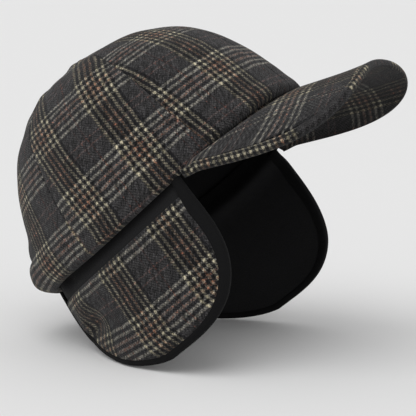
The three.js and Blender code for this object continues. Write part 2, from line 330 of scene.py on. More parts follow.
YARN = {
    "cream": linear(182, 170, 137),
    "cream_edge": linear(134, 128, 107),
    "rust": linear(146, 118, 92),
    "rust_edge": linear(110, 101, 88),
    "pane": linear(76, 61, 59),
    "ground": linear(72, 71, 71),
    "black": linear(24, 24, 26),
}
WEFT_YARN = dict(YARN, cream=linear(160, 154, 138), cream_edge=linear(114, 111, 101),
                 rust=linear(128, 106, 94), rust_edge=linear(104, 98, 91),
                 pane=linear(64, 53, 52), ground=linear(34, 33, 34))
SHOW_THROUGH = 0.3      # of the colour beneath a yarn, in the colour of the yarn on top
FLECKS = (1.0, 1.4)     # how far the light of the warp's and of the weft's yarns varies
HAIRS = {"wide": 1.5, "long": 10, "stagger": 0.37, "vary": 1.2}    # in yarns, diagonally
HEATHER = {"scale": 3.5, "detail": 4.0, "vary": 1.3, "height": 1.5}
DRIFT = {"scale": 0.35, "detail": 3.0, "far": 0.35}     # of the yarns, in pitches
TWEED_BUMP = {"strength": 0.6, "height": 0.0003}
BLACK_THREADS = {"pitch": 8.0, "strength": 0.5, "high": 0.35}      # a pitch to the UV unit
BLACK_FLUFF = {"scale": 0.6, "detail": 5.0, "high": 2.0, "darkest": 0.55, "vary": 0.9}
# The rust yarn and the panes are marled: now and then they run red
RED_YARN = {"rust": linear(174, 106, 76), "rust_edge": linear(126, 94, 76),
            "pane": linear(118, 70, 58)}
RED_WEFT = {"rust": linear(156, 94, 74), "rust_edge": linear(112, 92, 78),
            "pane": linear(100, 66, 59)}
MARL = {"share": 0.24, "long": 3.0}     # how much of them runs red, and for how many yarns


class Shader:
    """A material's node tree, with short ways to add to it"""

    def __init__(self, name):
        self.material = bpy.data.materials.new(name)
        self.material.use_nodes = True
        self.tree = self.material.node_tree
        self.surface = self.tree.nodes["Principled BSDF"]

    def set(self, **values):
        for name, value in values.items():
            self.surface.inputs[name.replace("_", " ")].default_value = value

    def link(self, source, target):
        self.tree.links.new(source, target)

    def node(self, kind, output=0, inputs=None, **settings):
        node = self.tree.nodes.new("ShaderNode" + kind)
        for name, value in settings.items():
            setattr(node, name, value)
        for key, value in (inputs or {}).items():
            if hasattr(value, "is_output"):
                self.link(value, node.inputs[key])
            else:
                node.inputs[key].default_value = value
        return node.outputs[output]

    def math(self, operation, *values):
        return self.node("Math", inputs=dict(enumerate(values)), operation=operation)

    def blend(self, share, a, b, blend_type="MIX"):
        return self.node("Mix", 2, {0: share, 6: a, 7: b}, data_type="RGBA", blend_type=blend_type)

    def ramp(self, share, stops):
        """A constant ramp: stops are (start, colour)"""
        socket = self.node("ValToRGB", inputs={0: share})
        ramp = socket.node.color_ramp
        ramp.interpolation = "CONSTANT"
        for k, (start, colour) in enumerate(stops):
            element = ramp.elements[k] if k < 2 else ramp.elements.new(start)
            element.position, element.color = start, colour
        return socket

    def split(self, vector):
        return [self.node("SeparateXYZ", k, {0: vector}) for k in (0, 1)]

    def chance(self, x, y):
        """A number from 0 to 1 for each cell"""
        cell = self.node("CombineXYZ", inputs={0: x, 1: y})
        return self.node("TexWhiteNoise", 0, {"Vector": cell}, noise_dimensions="2D")

    def varied(self, x, y, spread):
        """A light that varies from cell to cell, evenly, by spread round 1"""
        chance = self.math("SUBTRACT", self.chance(x, y), 0.5)
        return self.math("MULTIPLY_ADD", chance, spread, 1.0)

    def noise(self, place, spec, output=0):
        return self.node("TexNoise", output, {"Vector": place, "Scale": spec["scale"],
                         "Detail": spec["detail"]}, noise_dimensions="2D")

    def paint(self, colour, light):
        """The surface's colour, in the light of each place"""
        shade = self.node("CombineXYZ", inputs={0: light, 1: light, 2: light})
        self.link(self.blend(1.0, colour, shade, "MULTIPLY"), self.surface.inputs["Base Color"])

    def emboss(self, height, strength, distance):
        self.link(self.node("Bump", inputs={
            "Strength": strength, "Distance": distance, "Height": height}),
            self.surface.inputs["Normal"])

    def cloth_place(self, scale=1.0):
        """The place in the UV map, which counts pitches of the cloth's pattern"""
        return self.node("VectorMath", inputs={0: self.node("UVMap", uv_map="Cloth"), 3: scale},
                         operation="SCALE")


def yarn_stops(colours, panes):
    """The colours of one repeat of yarns, as the stops of a constant ramp"""
    stops = []
    for k, name in enumerate(GROUP):
        edge = name + "_edge"
        for start, colour in ((0, edge), (1, name), (3, edge), (4, "black")):
            stops.append(((k + start / YARNS) / LINES, colours[colour]))
    stops.append((len(GROUP) / LINES, colours["ground"]))
    for k in panes:
        first = k + TO_MIDDLE - PANE_YARNS / YARNS / 2
        stops += [(first / LINES, colours["pane"]),
                  ((first + PANE_YARNS / YARNS) / LINES, colours["ground"])]
    return stops


def tweed(name, warp_yarn=YARN, weft_yarn=WEFT_YARN, painted_light=1.0, warp_panes=WARP_PANES):
    """Glen plaid in a two-and-two twill. Its UV map counts line pitches of cloth."""
    s = Shader(name)
    place_on_cloth = s.cloth_place()
    x, y = s.split(place_on_cloth)
    drift = s.noise(place_on_cloth, DRIFT, 1)
    wave_x, wave_y = s.split(drift)
    yarns = []
    for along, wave in ((x, wave_x), (y, wave_y)):
        shifted = s.math("MULTIPLY_ADD", s.math("SUBTRACT", wave, 0.5), DRIFT["far"],
                         s.math("ADD", along, TO_MIDDLE))
        yarns.append(s.math("MULTIPLY", shifted, float(YARNS)))
    warp, weft = (s.math("FLOOR", yarn) for yarn in yarns)
    in_repeat = [s.math("FRACT", s.math("DIVIDE", s.math("ADD", yarn, 0.5),
                                        float(LINES * YARNS))) for yarn in (warp, weft)]
    colours = []
    for k, (yarn_colours, panes, red) in enumerate(((warp_yarn, warp_panes, RED_YARN),
                                                    (weft_yarn, WEFT_PANES, RED_WEFT))):
        yarn, crossed = (warp, weft) if k == 0 else (weft, warp)
        runs_red = s.math("GREATER_THAN", s.chance(yarn, s.math("FLOOR", s.math(
            "DIVIDE", crossed, MARL["long"]))), 1 - MARL["share"])
        reds = s.ramp(in_repeat[k], yarn_stops(dict(yarn_colours, **red), panes))
        plain = s.ramp(in_repeat[k], yarn_stops(yarn_colours, panes))
        colours.append(s.blend(runs_red, plain, reds))
    warp_colour, weft_colour = colours
    step = s.math("FLOORED_MODULO", s.math("ADD", warp, weft), 4.0)
    weft_on_top = s.math("GREATER_THAN", step, 1.5)
    # The cloth is milled, so the yarn beneath darkens or lightens the one on top
    on_top = s.blend(weft_on_top, warp_colour, weft_colour)
    beneath = s.blend(weft_on_top, weft_colour, warp_colour)
    colour = s.blend(1.0, s.node("Gamma", inputs={0: on_top, 1: 1 - SHOW_THROUGH}),
                     s.node("Gamma", inputs={0: beneath, 1: SHOW_THROUGH}), "MULTIPLY")
    # Each yarn's own shade, brushed hairs that run across the twill, and soft clouds
    fleck = s.varied(warp, weft, s.node("Mix", 0, {0: weft_on_top, 2: FLECKS[0], 3: FLECKS[1]}))
    strand = s.math("FLOOR", s.math("DIVIDE", s.math("SUBTRACT", *yarns), HAIRS["wide"]))
    along_strand = s.math("DIVIDE", s.math("ADD", *yarns), float(HAIRS["long"]))
    hair = s.math("FLOOR", s.math("MULTIPLY_ADD", strand, HAIRS["stagger"], along_strand))
    hairs = s.varied(strand, hair, HAIRS["vary"])
    heather = s.noise(place_on_cloth, HEATHER)
    # The factor that scales the clouds darkens whole copies of this cloth: painted shade for
    # pieces in shade
    clouds = s.math("MULTIPLY_ADD", heather, HEATHER["vary"] * painted_light,
                    (1 - HEATHER["vary"] / 2) * painted_light)
    s.paint(colour, s.math("MULTIPLY", s.math("MULTIPLY", fleck, hairs), clouds))
    profile = []
    for yarn in yarns:
        middle = s.math("MULTIPLY_ADD", s.math("FRACT", yarn), 2.0, -1.0)
        profile.append(s.math("SUBTRACT", 1.0, s.math("MULTIPLY", middle, middle)))
    height = s.node("Mix", 0, {0: weft_on_top, 2: profile[0], 3: profile[1]})
    s.emboss(s.math("MULTIPLY_ADD", heather, HEATHER["height"], height),
             TWEED_BUMP["strength"], TWEED_BUMP["height"])
    s.set(Roughness=0.95, Sheen_Weight=0.1, Sheen_Roughness=0.5, Specular_IOR_Level=0.08)
    return s.material


def plain_cloth(name, colour, roughness, sheen, rib, painted_shade_top=None):
    """Plain black cloth with a fine weave, its threads rib mm high. The last argument, if given,
    paints shade on it:
    between which heights of its UV map the painted shade fades out, and how dark it is at its
    darkest."""
    s = Shader(name)
    threads = s.cloth_place(BLACK_THREADS["pitch"])
    x, y = s.split(threads)
    checks = s.math("MULTIPLY", s.math("SINE", s.math("MULTIPLY", x, math.tau)),
                    s.math("SINE", s.math("MULTIPLY", y, math.tau)))
    fluff = s.noise(threads, BLACK_FLUFF)
    s.emboss(s.math("MULTIPLY_ADD", checks, BLACK_THREADS["high"],
                    s.math("MULTIPLY", fluff, BLACK_FLUFF["high"])),
             BLACK_THREADS["strength"], rib / 1000)
    light = s.math("MULTIPLY_ADD", fluff, BLACK_FLUFF["vary"], BLACK_FLUFF["darkest"])
    # Painted shade: the cloth is drawn darker towards the top of its UV map
    if painted_shade_top:
        down = s.split(s.cloth_place())[1]
        light = s.math("MULTIPLY", light, s.node("MapRange", inputs={
            0: down, 1: painted_shade_top[0], 2: painted_shade_top[1], 3: painted_shade_top[2], 4: 1.0},
            interpolation_type="SMOOTHSTEP"))
    s.paint(colour, light)
    s.set(Roughness=roughness, Sheen_Weight=sheen, Sheen_Roughness=0.4, Specular_IOR_Level=0.12)
    return s.material


TWEED = tweed("tweed")
# The peak's lengthwise panes are pale. The peak's cloth, its edge and the earflaps' cloth are
# drawn darker than the crown's as painted shade, and its underside darkest of all, as a painted
# shadow.
TWEED_PEAK_PAINTED_SHADE = tweed("tweed_peak_painted_shade", dict(YARN, pane=linear(168, 163, 146)), painted_light=0.82,
                   warp_panes=(8.88, 9.74))
TWEED_EDGE_PAINTED_SHADE = tweed("tweed_edge_painted_shade", painted_light=0.78)
TWEED_FLAP_PAINTED_SHADE = tweed("tweed_flap_painted_shade", painted_light=0.9)
TWEED_UNDER_PAINTED_SHADE = tweed("tweed_under_painted_shade", painted_light=0.36)
# The earflaps' black cloth is painted darker where it comes out from under the hem: a painted
# shade beneath the hem's overhang
BLACK_CLOTH = plain_cloth("black_cloth", linear(31, 31, 32), 0.9, 0.03, 0.25, (-0.2, 1.2, 0.34))
BLACK_BINDING = plain_cloth("black_binding", linear(15, 15, 16), 0.8, 0.02, 0.18)
LINING = plain_cloth("lining", linear(28, 28, 29), 0.9, 0.03, 0.2)


# ---- Meshes ----
HALF_ROUND = (30, 60, 90, 120, 150)     # degrees round a folded edge
SHARP = 50              # degrees between faces, past which an edge shows


def grid_faces(index):
    """The faces of a grid of point numbers"""
    return [face for a, b in zip(index, index[1:]) for face in zip(a, a[1:], b[1:], b)]


def shell(name, outer, inner, cloth, materials, side=1, rounded=False, third=0):
    """A closed piece of cloth from two grids of points in the cap's frame, and their UVs in
    pitches. Its first row may bulge out in a half round. The materials are the outer's, the
    inner's, and that of the outer's first rows, as many as third says."""
    rows, columns = outer.shape[:2]
    count = rows * columns
    points = [place(outer, side).reshape(-1, 3), place(inner, side).reshape(-1, 3)]
    uvs = [cloth.reshape(-1, 2)] * 2
    index = np.arange(count).reshape(rows, columns)
    faces = grid_faces(index) + [face[::-1] for face in grid_faces(index + count)]
    slots = [0] * (len(faces) // 2) + [1] * (len(faces) // 2)
    slots[:third * (columns - 1)] = [2] * (third * (columns - 1))
    total = 2 * count
    edges = [[line, line + count]
             for line in (index[0], index[:, -1], index[-1, ::-1], index[::-1, 0])]
    if rounded:
        top, bottom = points[0][index[0]], points[1][index[0]]
        middle, half = (top + bottom) / 2, (top - bottom) / 2
        out = unit(top - points[0][index[1]]) * np.linalg.norm(half, axis=-1, keepdims=True)
        for turn in HALF_ROUND:
            t = math.radians(turn)
            points.append(middle + half * math.cos(t) + out * math.sin(t))
            uvs.append(uvs[0][index[0]])
            edges[0].insert(-1, total + index[0])
            total += columns
    for strips in edges:
        for a, b in zip(strips, strips[1:]):
            faces += zip(a[1:], a, b, b[1:])
            slots += [0] * (len(a) - 1)
    return mesh_piece(name, np.concatenate(points), faces, np.concatenate(uvs), materials, slots)


def mesh_piece(name, points, faces, uvs, materials, slots):
    mesh = bpy.data.meshes.new(name)
    mesh.from_pydata([tuple(p) for p in points], [], [tuple(int(v) for v in f) for f in faces])
    layer = mesh.uv_layers.new(name="Cloth")
    corners = np.zeros(len(mesh.loops), int)
    mesh.loops.foreach_get("vertex_index", corners)
    layer.data.foreach_set("uv", uvs[corners].astype(np.float32).ravel())
    for material in materials:
        mesh.materials.append(material)
    mesh.polygons.foreach_set("material_index", slots)
    mesh.polygons.foreach_set("use_smooth", [True] * len(faces))
    mesh.update()
    work = bmesh.new()
    work.from_mesh(mesh)
    bmesh.ops.remove_doubles(work, verts=work.verts, dist=1e-7)
    bmesh.ops.recalc_face_normals(work, faces=work.faces)
    work.to_mesh(mesh)
    work.free()
    mesh.set_sharp_from_angle(angle=math.radians(SHARP))
    piece = bpy.data.objects.new(name, mesh)
    bpy.context.scene.collection.objects.link(piece)
    return piece


def finish_piece(piece, node):
    """Attaches a piece to the root body, and hides the CAD part that it stands for."""
    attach(piece, "root")
    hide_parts(node)


# ---- Crown ----
# Where the first line of each gore's cloth lies, and the pitch of its lines, in mm: along,
# back round the crown from the gore's middle or its front seam, and up from the hem
GORES = {
    "front": {"seams": ("front_middle", "front_side"), "from_seam": False,
              "beside": ("side",), "meets_twin": True,
              "along": -14.5, "along_pitch": 4.05, "up": 26, "up_pitch": 4.38},
    "side": {"seams": ("front_side", "back_side"), "from_seam": False,
             "beside": ("front", "back"), "meets_twin": False,
             "along": -31, "along_pitch": 4.19, "up": 17.1, "up_pitch": 4.62},
    "back": {"seams": ("back_side", "back_middle"), "from_seam": True,
             "beside": ("side",), "meets_twin": True,
             "along": 27, "along_pitch": 4.05, "up": 6.6, "up_pitch": 4.4},
}
# The hem is a soft lip: how much it swells, and how round it turns in below, by angle
LIP = {"height": 6, "spread": 5, "angles": (50, 70, 120, 145), "swell": (0.8, 0.3, 0.3, 0.3),
       "turn": (3.2, 3.6, 3.6, 2), "turned": 0.93}
# Cloth turns in at the seams, and lies a little lower near them
SEAM = {"turn": 1.0, "valley": 0.4, "valley_width": 6.5}
# Soft bulges and dents of the crown: degrees from the front, row, mm outward, and how far
# they spread, in degrees and rows
BUMPS = ((52, 6.2, 1.5, 7, 0.25), (63, 5.95, 1.5, 8, 0.25), (82, 6.3, -2.9, 12, 0.35),
         (108, 5.75, 1.8, 10, 0.35), (117, 5.4, 0.8, 8, 0.3), (133, 4.75, -1.1, 12, 0.5),
         (145, 3.0, 0.6, 12, 0.5), (144, 3.5, 0.8, 16, 0.8), (151, 1.4, 1.2, 14, 0.22),
         (151, 1.13, -1.0, 14, 0.07), (151, 0.92, 0.7, 14, 0.13))
# Its unevenness, in waves: mm high, waves round it and up it in radians, and where they start
WAVES = ((0.30, 5, 1.3, 0.7), (0.22, 9, -2.1, 2.0), (0.16, 14, 3.3, 4.1))
# The side gores' upright lines lean forward higher up, and the rear ones curl back at the
# hem. The back gores' first ones are drawn back low down.
LEAN = {"most": 3.0, "over": 40, "heights": (58, 108)}
CURL = {"most": -2.6, "height": 13, "power": 1.5, "places": (-20, 20)}
DRAWN = {"most": -1.85, "spread": 5, "heights": (24, 34)}
GORE_STEP = 1.4         # between a gore's rows and columns, which crowd near its seams
GORE_TOP = 7.985        # the row where the gores meet
FINE_UP, FINE_ALONG = 400, 241      # points that a gore is measured with
# The columns crowd within a margin: so wide, or that share of a narrow gore
CROWDED = np.array([0, 0.05, 0.13, 0.24, 0.38, 0.55, 0.75, 1])
MARGIN = {"width": 4.0, "share": 0.25}
NARROW = 26             # gores narrower than this flatten out towards the top


def gore(name, side):
    spec = GORES[name]
    fine = np.linspace(0, GORE_TOP, FINE_UP)
    ends = [seam_angle(seam, fine) for seam in spec["seams"]]
    spine = crown_outside((ends[0] + ends[1]) / 2, fine)
    climb = lengths(spine)
    hem = WALL / 2
    up = np.linspace(hem, climb[-1], int((climb[-1] - hem) / GORE_STEP))
    row = np.interp(up, climb, fine)[:, None]
    first, last = (seam_angle(seam, row) for seam in spec["seams"])
    share = np.linspace(0, 1, FINE_ALONG)[None]
    angles = first + (last - first) * share
    arcs = lengths(crown_outside(angles, row).swapaxes(0, 1)).T
    width = arcs[:, -1]
    inner_columns = 2 + int(width.max() / GORE_STEP)
    margin = np.minimum(MARGIN["width"], MARGIN["share"] * width)[:, None]
    gap = np.minimum(SEAM_GAP / 2, 0.02 * width)[:, None]
    near = gap + (margin - gap) * CROWDED[None]
    middle = margin + (width[:, None] - 2 * margin) * np.linspace(0, 1, inner_columns)[None]
    along = np.concatenate([near[:, :-1], middle, width[:, None] - near[:, ::-1][:, 1:]], axis=1)
    angle = np.stack([np.interp(along[k], arcs[k], angles[k]) for k in range(len(up))])
    # Inside, neighbouring gores touch, so that no light comes through the seam
    touching = angle.copy()
    touching[:, 0], touching[:, -1] = angles[:, 0], angles[:, -1]
    room = np.minimum(1, width / NARROW)[:, None]
    seam_distance = np.minimum(along, width[:, None] - along)
    radius = SEAM["turn"] * room
    within = np.clip(radius - seam_distance, 0, radius)
    sunk = radius - np.sqrt(np.maximum(radius ** 2 - within ** 2, 0))
    valley = SEAM["valley"] * room * bell(seam_distance, 0, SEAM["valley_width"])
    inward = crown_inward(angle, row)
    surface = crown_outside(angle, row)
    lumps = crown_lumps(angle, row, side) * room
    above_hem = up[:, None] - hem
    swell, turn = (np.interp(angle, LIP["angles"], LIP[key]) for key in ("swell", "turn"))
    lip = swell * bell(above_hem, LIP["height"], LIP["spread"])
    below = np.clip(LIP["turned"] * turn - above_hem, 0, turn)
    tucked = turn - np.sqrt(turn ** 2 - below ** 2)
    outer = surface + inward * (sunk + valley - lumps + tucked - lip)[..., None]
    inner = crown_outside(touching, row) + crown_inward(touching, row) \
        * (WALL + tucked - 0.5 * lip)[..., None]
    u = along if spec["from_seam"] else along - arcs[:, FINE_ALONG // 2, None]
    v = up[:, None] + 0 * along
    lines_x = (u + gore_drift(name, u, v) - spec["along"]) / spec["along_pitch"]
    lines_y = (v - spec["up"]) / spec["up_pitch"]
    if side < 0:
        lines_x = len(GROUP) - 1 - lines_x
    cloth = np.stack([lines_x, lines_y], -1)
    label, twin = ("right", "left") if side < 0 else ("left", "right")
    piece = shell(f"gore_{name}_{label}", outer, inner, cloth, [TWEED, LINING], side, True)
    neighbours = [f"crown_{other}_{label}" for other in spec["beside"]]
    if spec["meets_twin"]:
        neighbours.append(f"crown_{name}_{twin}")
    finish_piece(piece, f"crown_{name}_{label}")


def crown_lumps(angle, row, side):
    """The soft unevenness of padded cloth, in mm outward"""
    a = np.radians(angle) * side
    bumps = sum(high * np.exp(-((angle - at) / wide) ** 2 - ((row - up) / tall) ** 2)
                for at, up, high, wide, tall in BUMPS)
    waves = sum(high * np.sin(across * a + up * row + start) for high, across, up, start in WAVES)
    return waves * smooth(0.1, 1.0, row) + bumps


def gore_drift(name, u, v):
    """How far the cloth's upright lines stray forward, in mm"""
    if name == "side":
        low, high = LEAN["heights"]
        lean = LEAN["most"] * (np.clip(v - low, 0, high - low) / LEAN["over"]) ** 2
        curl = np.clip(CURL["height"] - v, 0, CURL["height"]) / CURL["height"]
        return lean + CURL["most"] * curl ** CURL["power"] * smooth(*CURL["places"], u)
    if name == "back":
        return DRAWN["most"] * bell(u, 0, DRAWN["spread"]) * (1 - smooth(*DRAWN["heights"], v))
    return 0 * u


for gore_name in GORES:
    for gore_side in (-1, 1):
        gore(gore_name, gore_side)


# ---- Peak ----
# Where each cover's first lines lie: fanned out near the root, and bowed at the corners
PEAK_CLOTH = {"along": 17.1, "along_pitch": 4.05, "up": -0.9, "up_pitch": 4.4,
              "fan": 0.17, "fan_from": 30, "bow": 24, "bow_power": 6}
UNDER_CLOTH = {"along": 43.5, "along_pitch": 4.05, "up": 10.2, "up_pitch": 4.1,
               "fan": 0, "fan_from": 0, "bow": 25, "bow_power": 4}
FAN_WIDTH = 50
# The strip that the lower cover makes round the free edge. Its cloth is pieced: each piece
# starts at an arc from the corner, on a line along the edge and with a first line across it.
STRIP = {"on_top": 3.6, "taper": 0.35, "first_line": 0.9, "pitch": 4.1,
         "pieces": ((0, 4.24, 1), (6.2, -0.25, 1), (30.8, -0.25, 1), (39, -0.25, 1),
                    (47.2, -0.25, 1), (55.4, -0.25, 1), (80, 5.75, 7.4), (88.2, 5.75, 7.4),
                    (96.4, 5.75, 7.4), (104.6, 5.75, 7.4), (112, 9.35, 7.4), (121.9, -0.25, 1),
                    (146.5, -0.25, 1), (154.7, 5.75, 7.4))}
# Its seam on top is a groove, which is shallow between the plain arcs
STRIP_SEAM = {"deep": 0.55, "plain": (78, 122), "fades": 6, "plain_share": 0.3,
              "width": 1.3, "strip_width": 0.8, "from_corner": 6}
PEAK_HALF = 2.6         # half of the peak's thickness
PEAK_ROUND = {"in": 1.0, "out": 1.4}
# The peak's root is thin, lies low inside the crown, and is turned up at its end
PEAK_ROOT = {"in": 6.6, "half": 0.9, "length": 9, "low": 3.4, "low_until": 15, "turned_up": 4.5,
             "turn": 1.3, "rows": (0, 0.009, 0.018, 0.03, 0.045)}
PEAK_SKIN = 0.7         # thickness of each cover
PEAK_STEP = 1.9
# Rows of the covers and of the round edge; dark counts the round edge's rows that take the
# underside's painted shade
PEAK_ROWS = {"upper": 44, "under": 40, "round": 15, "dark": 4}


def peak_columns():
    """Places along the free edge, with the strip's cloth there. Where that cloth is pieced,
    a place comes twice."""
    turn = np.linspace(-90, 90, 4001)
    across, forward = peak_outline(turn)
    arc = lengths(peak_at(across, forward))
    half = arc[-1] / 2
    starts, lines, first = np.array(STRIP["pieces"]).T
    even = np.linspace(0, half, int(half / PEAK_STEP))
    arcs = np.sort(np.concatenate([even, starts[1:], starts[1:]]))
    comes_again = np.concatenate([np.diff(arcs) == 0, [False]])
    piece = np.searchsorted(starts, arcs, side="right") - 1 - comes_again
    line = lines[piece] + (arcs - starts[piece]) / STRIP["pitch"]
    mirrored = [np.concatenate([of, of[-2::-1]]) for of in (line, first[piece])]
    arcs = np.concatenate([arcs, arc[-1] - arcs[-2::-1]])
    return np.interp(arcs, arc, turn), arcs, *mirrored


def peak_pieces():
    turn, arcs, strip_line, strip_first = peak_columns()
    across, forward = peak_outline(turn)
    plan = np.stack([across, forward], -1)
    ahead = np.stack(peak_outline(np.clip(turn + 0.05, -90, 90)), -1)
    behind = np.stack(peak_outline(np.clip(turn - 0.05, -90, 90)), -1)
    along = unit(ahead - behind)
    out = np.stack([along[:, 1], -along[:, 0]], -1)
    out = out * np.sign((out * (plan - (0, PEAK_CORNER[1] + 5))).sum(-1, keepdims=True))
    ends = np.minimum(arcs, arcs[-1] - arcs)
    on_top = np.minimum(STRIP["on_top"], STRIP["taper"] * ends)
    root_across = PEAK_CORNER[0] * np.sin(np.radians(turn))
    hem = hem_in_front(root_across)
    outward = unit(np.stack([hem[:, 0] / HEM_SIDE ** 2, hem[:, 1] / HEM_FRONT ** 2], -1))
    root = hem[:, :2] - PEAK_ROOT["in"] * outward

    def layer(inset, rows):
        """The middle layer, in rows from the root to an inset from the free edge: points,
        normals, half the thickness, and how far the inset edge is"""
        edge = plan - out * inset[:, None]
        share = np.concatenate([PEAK_ROOT["rows"], np.linspace(0, 1, rows)[3:]])[:, None, None]
        place = mix(root[None], edge[None], share)
        middle = peak_at(place[..., 0], place[..., 1])
        up = peak_up(place[..., 0], place[..., 1])
        reach = np.linalg.norm(place - root[None], axis=-1)
        middle[..., 2] -= PEAK_ROOT["low"] * (1 - smooth(0, PEAK_ROOT["low_until"], reach))
        middle[..., 2] += PEAK_ROOT["turned_up"] * (1 - smooth(0, PEAK_ROOT["turn"], reach))
        half = mix(PEAK_ROOT["half"], PEAK_HALF, smooth(0, PEAK_ROOT["length"], reach))
        from_edge = np.linalg.norm(edge[None] - place, axis=-1)
        return middle, up, half, from_edge

    middle, up, half, from_edge = layer(on_top, PEAK_ROWS["upper"])
    (first, last), fades = STRIP_SEAM["plain"], STRIP_SEAM["fades"]
    pieced = STRIP_SEAM["deep"] * mix(STRIP_SEAM["plain_share"], 1, smooth(
        first + fades, first, ends) + smooth(last - fades, last, ends))
    groove = pieced * np.clip(1 - from_edge / STRIP_SEAM["width"], 0, 1) ** 2
    top = middle + up * (half - groove)[..., None]
    inside = middle + up * (half - groove - PEAK_SKIN)[..., None]
    piece = shell("peak_top", top, inside, peak_cloth(middle, PEAK_CLOTH), [TWEED_PEAK_PAINTED_SHADE, TWEED])
    finish_piece(piece, "peak_upper")

    # The lower cover comes round the free edge and meets the upper one on top of it
    middle, up, half, _ = layer(0 * turn + PEAK_ROUND["in"], PEAK_ROWS["under"])
    outer = middle - up * half[..., None]
    inner = middle - up * (half - PEAK_SKIN)[..., None]
    edge, edge_up = middle[-1], up[-1]
    edge_out = unit(np.cross(unit(np.gradient(edge, axis=0) + 1e-9), edge_up))
    edge_out = edge_out * np.sign((edge_out[:, :2] * out).sum(-1, keepdims=True))
    band, lining = [], []
    for t in np.radians(np.linspace(-90, 90, PEAK_ROWS["round"])):
        for rows, skin in ((band, 0), (lining, PEAK_SKIN)):
            rows.append(edge + edge_out * (PEAK_ROUND["out"] - skin) * math.cos(t)
                        + edge_up * (PEAK_HALF - skin) * math.sin(t))
    for share in (0.25, 0.5, 0.75, 0.9, 1):
        inset = mix(PEAK_ROUND["in"], on_top, share)
        spot = plan - out * inset[:, None]
        base, base_up = peak_at(*spot.T), peak_up(*spot.T)
        sunk = pieced * np.clip(1 - (on_top - inset) / STRIP_SEAM["strip_width"], 0, 1) ** 2
        sunk = sunk * np.clip(ends / STRIP_SEAM["from_corner"], 0, 1)
        band.append(base + base_up * (PEAK_HALF - sunk)[:, None])
        lining.append(base + base_up * (PEAK_HALF - sunk - PEAK_SKIN)[:, None])
    band, lining = np.stack(band), np.stack(lining)
    down = lengths(band[::-1])[::-1]
    strip = np.stack([strip_line + 0 * down,
                      strip_first + (STRIP["first_line"] - down) / STRIP["pitch"]], -1)
    cloth = np.concatenate([peak_cloth(middle, UNDER_CLOTH), strip])
    # The underside and the first rows of the round edge take the darkest painted shade, the rest
    # of the edge a lighter painted shade
    piece = shell("peak_underside", np.concatenate([outer, band]),
                  np.concatenate([inner, lining]), cloth, [TWEED_EDGE_PAINTED_SHADE, TWEED, TWEED_UNDER_PAINTED_SHADE],
                  third=len(middle) + PEAK_ROWS["dark"])
    finish_piece(piece, "peak_under")


def peak_cloth(middle, spec):
    """Where the plaid's lines run on the peak, mirrored about its middle"""
    across = middle[..., 0]
    forward = (middle[..., 1] - HEM_FRONT) / math.cos(math.radians(PEAK["slope"]))
    spread = spec["fan"] * np.maximum(0, spec["fan_from"] - forward) * np.abs(across) / FAN_WIDTH
    bowed = forward + spec["bow"] * (np.abs(across) / PEAK_CORNER[0]) ** spec["bow_power"]
    lengthwise = (np.abs(across) - spread - spec["along"]) / spec["along_pitch"]
    return np.stack([len(GROUP) - 1 - lengthwise, (bowed - spec["up"]) / spec["up_pitch"]], -1)


peak_pieces()


# ---- Earflaps ----
FLAP_CLOTH = {"along": -28.8, "along_pitch": 4.08, "down": 48.8, "down_pitch": 4.49}
# Its lines stray forward near its foot and at its pucker, and rise towards the rear
FLAP_DRIFT = {"foot": 4.0, "foot_from": 66, "foot_over": 12, "gathered": 11.5, "depth": 38,
              "spread": 14, "from": (38, 62), "to": (62, 92), "rise": 6.0, "rise_along": (25, 95),
              "rise_down": (5, 45)}
PLAIN_PITCH = 4         # of the black cloths' UV maps, in mm
PATCH_TOP = {"sunk": 0.5, "over": 3, "clear": 2}
SHEET_ROWS = 70
WRAP_AT = 20            # the step of the outline where the wrap is measured
NARROWING = 15          # how far back the sheets make up for the binding's narrower top
# The binding's section, from the tweed over the edge to the back: the share of its width,
# its inset, and how far it is raised. The fold between is round.
BINDING_FRONT = [(1.0, 0.0, 1.55), (0.97, 0.0, 1.95), (0.9, 0.0, 2.15), (0.7, 0.3, 2.2),
                 (0.4, 1.0, 2.2), (0.0, 2.1, 2.1), (0.0, 1.75, 1.85), (0.0, 1.45, 1.95)]
BINDING_BACK = [(0.0, 2.1, -2.3), (0.4, 1.0, -2.4), (0.9, 0.0, -2.35), (1.0, 0.0, -2.1)]
BINDING_FOLD = {"middle": -0.1, "reach": 1.3, "half": 1.86, "turn": 60, "steps": 9}
BINDING_SKIN = {"edge": 0.8, "sides": 0.24, "raised": 0.8}


def flap_sheet(top, last_turn, outer, inner, sink):
    """Arcs, depths and points of a sheet whose edge the binding holds: its outside and inside
    are raised from the black cloth's outside, and its top edge is sunk"""
    widths, at = flap_outline(0, 60, last_turn, 80)
    arc, foot = at(widths + SEAM_GAP)
    depth = mix(top, foot[None], np.linspace(0, 1, SHEET_ROWS)[:, None])
    # The binding is narrower at the top of the front edge, and the sheet follows it
    narrower = (BINDING["front"] - BINDING["top"]) * np.clip(1 - depth / FRONT_EDGE, 0, 1)
    arc = arc[None] - narrower * np.clip(1 - (arc[None] - arc[0]) / NARROWING, 0, 1)
    top_sunk = sink * np.clip(1 - (depth - top) / PATCH_TOP["over"], 0, 1) ** 2
    return arc, depth, flap_point(arc, depth, outer - top_sunk), flap_point(arc, depth, inner)


